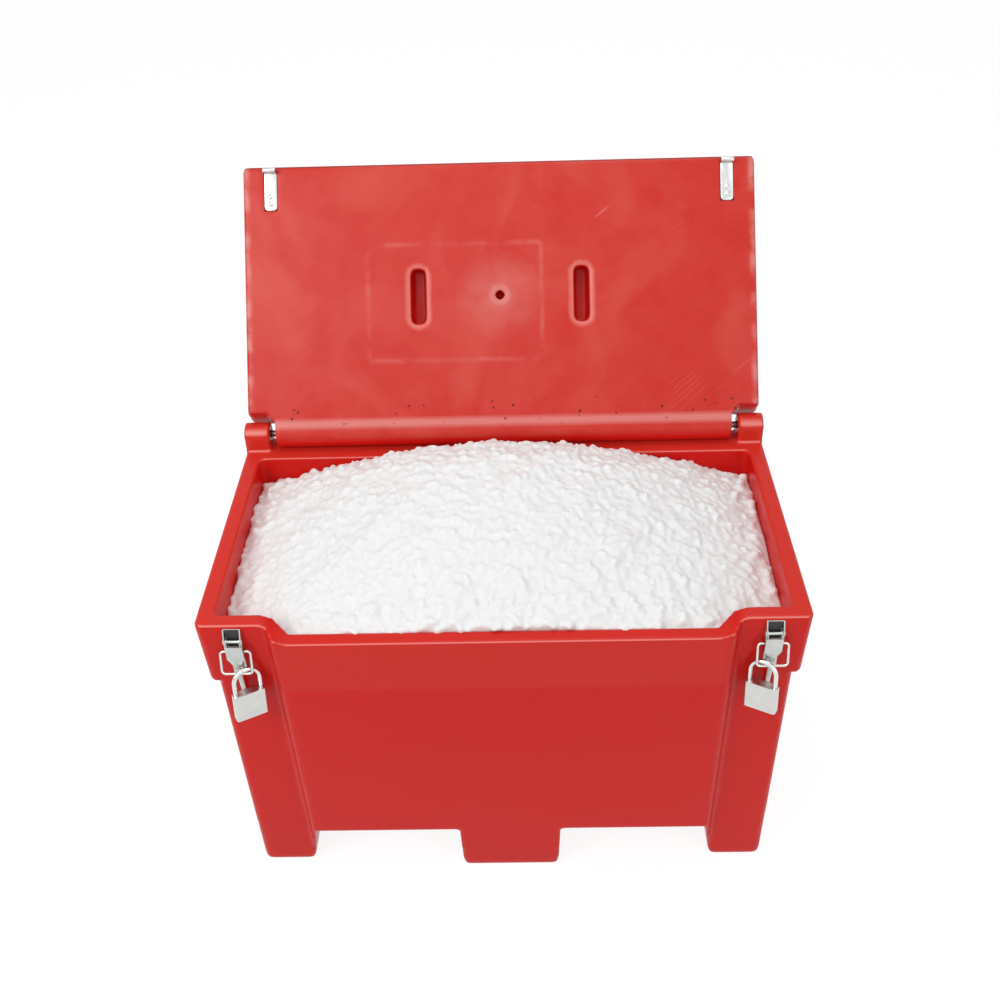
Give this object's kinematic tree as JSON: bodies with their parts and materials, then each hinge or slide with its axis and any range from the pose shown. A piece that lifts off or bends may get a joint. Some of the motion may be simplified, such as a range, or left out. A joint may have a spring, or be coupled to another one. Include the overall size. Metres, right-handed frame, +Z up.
{
  "type": "grit salt bin",
  "caption": "Lidded street bin for grit salt: double-skinned plastic tub with fork channels, lid hinged on a steel rod, and toggle latches with padlocks.",
  "frame": {"origin": "on the floor under the middle of the rim, on the underside of the centre skid", "axes": "+Z up, front of the bin towards -Y, hinge at the rear towards +Y, +X to the right seen from the front"},
  "size_m": [0.96, 0.8177, 1.0864],
  "materials": {
    "tub_plastic": "rotomoulded polyethylene, satin, lightly weathered",
    "lid_plastic": "rotomoulded polyethylene, satin, chalky bloom and scratches",
    "rod_steel": "zinc plated, dull",
    "strike_steel": "pressed stainless steel, fine scratches",
    "latch_zinc": "zinc plated pressed steel, satin",
    "buffer_rubber": "moulded black rubber",
    "shackle_steel": "hardened steel, bright plated",
    "lock_steel": "satin nickel plated",
    "plug_brass": "turned brass",
    "rock_salt": "coarse white rock salt, loose grains"
  },
  "bodies": {
    "tub": {"tub": "tub_plastic", "hinge_rod": "rod_steel", "hinge_rod_caps": "rod_steel", "salt_load": "rock_salt", "latch_base_left": "latch_zinc", "latch_rivets_left": "latch_zinc", "latch_buffer_left": "buffer_rubber", "latch_pin_left": "latch_zinc", "latch_base_right": "latch_zinc", "latch_rivets_right": "latch_zinc", "latch_buffer_right": "buffer_rubber", "latch_pin_right": "latch_zinc"},
    "lid": {"lid": "lid_plastic", "strike_plate_left": "strike_steel", "strike_plate_right": "strike_steel", "strike_rivets": "strike_steel"},
    "lever_left": {"latch_lever_left": "latch_zinc"},
    "bail_left": {"latch_bail_left": "latch_zinc"},
    "shackle_left": {"padlock_shackle_left": "shackle_steel"},
    "lock_body_left": {"padlock_body_left": "lock_steel"},
    "key_plug_left": {"padlock_key_plug_left": "plug_brass"},
    "lever_right": {"latch_lever_right": "latch_zinc"},
    "bail_right": {"latch_bail_right": "latch_zinc"},
    "shackle_right": {"padlock_shackle_right": "shackle_steel"},
    "lock_body_right": {"padlock_body_right": "lock_steel"},
    "key_plug_right": {"padlock_key_plug_right": "plug_brass"}
  },
  "joints": [
    {"name": "lid_hinge", "type": "hinge", "parent": "tub", "child": "lid", "pos_m": [0, 0.2235, 0.661], "axis": [-1, 0, 0], "range_deg": [-124.4, 0], "deforming": ["salt_load"]},
    {"name": "lever_hinge_left", "type": "hinge", "parent": "tub", "child": "lever_left", "pos_m": [-0.42, -0.25109, 0.60679], "axis": [1, 0, 0], "range_deg": [-112, 0]},
    {"name": "bail_swing_left", "type": "hinge", "parent": "lever_left", "child": "bail_left", "pos_m": [-0.42, -0.25038, 0.5848], "axis": [-1, 0, 0], "range_deg": [0, 150]},
    {"name": "padlock_swing_left", "type": "hinge", "parent": "bail_left", "child": "shackle_left", "pos_m": [-0.42, -0.2604, 0.54504], "axis": [1, 0, 0], "range_deg": [-20, 0]},
    {"name": "lock_slide_left", "type": "slide", "parent": "shackle_left", "child": "lock_body_left", "axis": [0, -0.1934, -0.9811], "range_m": [0, 0.01]},
    {"name": "key_turn_left", "type": "hinge", "parent": "lock_body_left", "child": "key_plug_left", "pos_m": [-0.407, -0.27504, 0.46664], "axis": [0, -0.1934, -0.9811], "range_deg": [0, 90]},
    {"name": "lever_hinge_right", "type": "hinge", "parent": "tub", "child": "lever_right", "pos_m": [0.42, -0.25109, 0.60679], "axis": [1, 0, 0], "range_deg": [-112, 0]},
    {"name": "bail_swing_right", "type": "hinge", "parent": "lever_right", "child": "bail_right", "pos_m": [0.42, -0.25038, 0.5848], "axis": [-1, 0, 0], "range_deg": [0, 150]},
    {"name": "padlock_swing_right", "type": "hinge", "parent": "bail_right", "child": "shackle_right", "pos_m": [0.42, -0.2604, 0.54504], "axis": [1, 0, 0], "range_deg": [-20, 0]},
    {"name": "lock_slide_right", "type": "slide", "parent": "shackle_right", "child": "lock_body_right", "axis": [0, -0.1934, -0.9811], "range_m": [0, 0.01]},
    {"name": "key_turn_right", "type": "hinge", "parent": "lock_body_right", "child": "key_plug_right", "pos_m": [0.407, -0.27504, 0.46664], "axis": [0, -0.1934, -0.9811], "range_deg": [0, 90]}
  ]
}
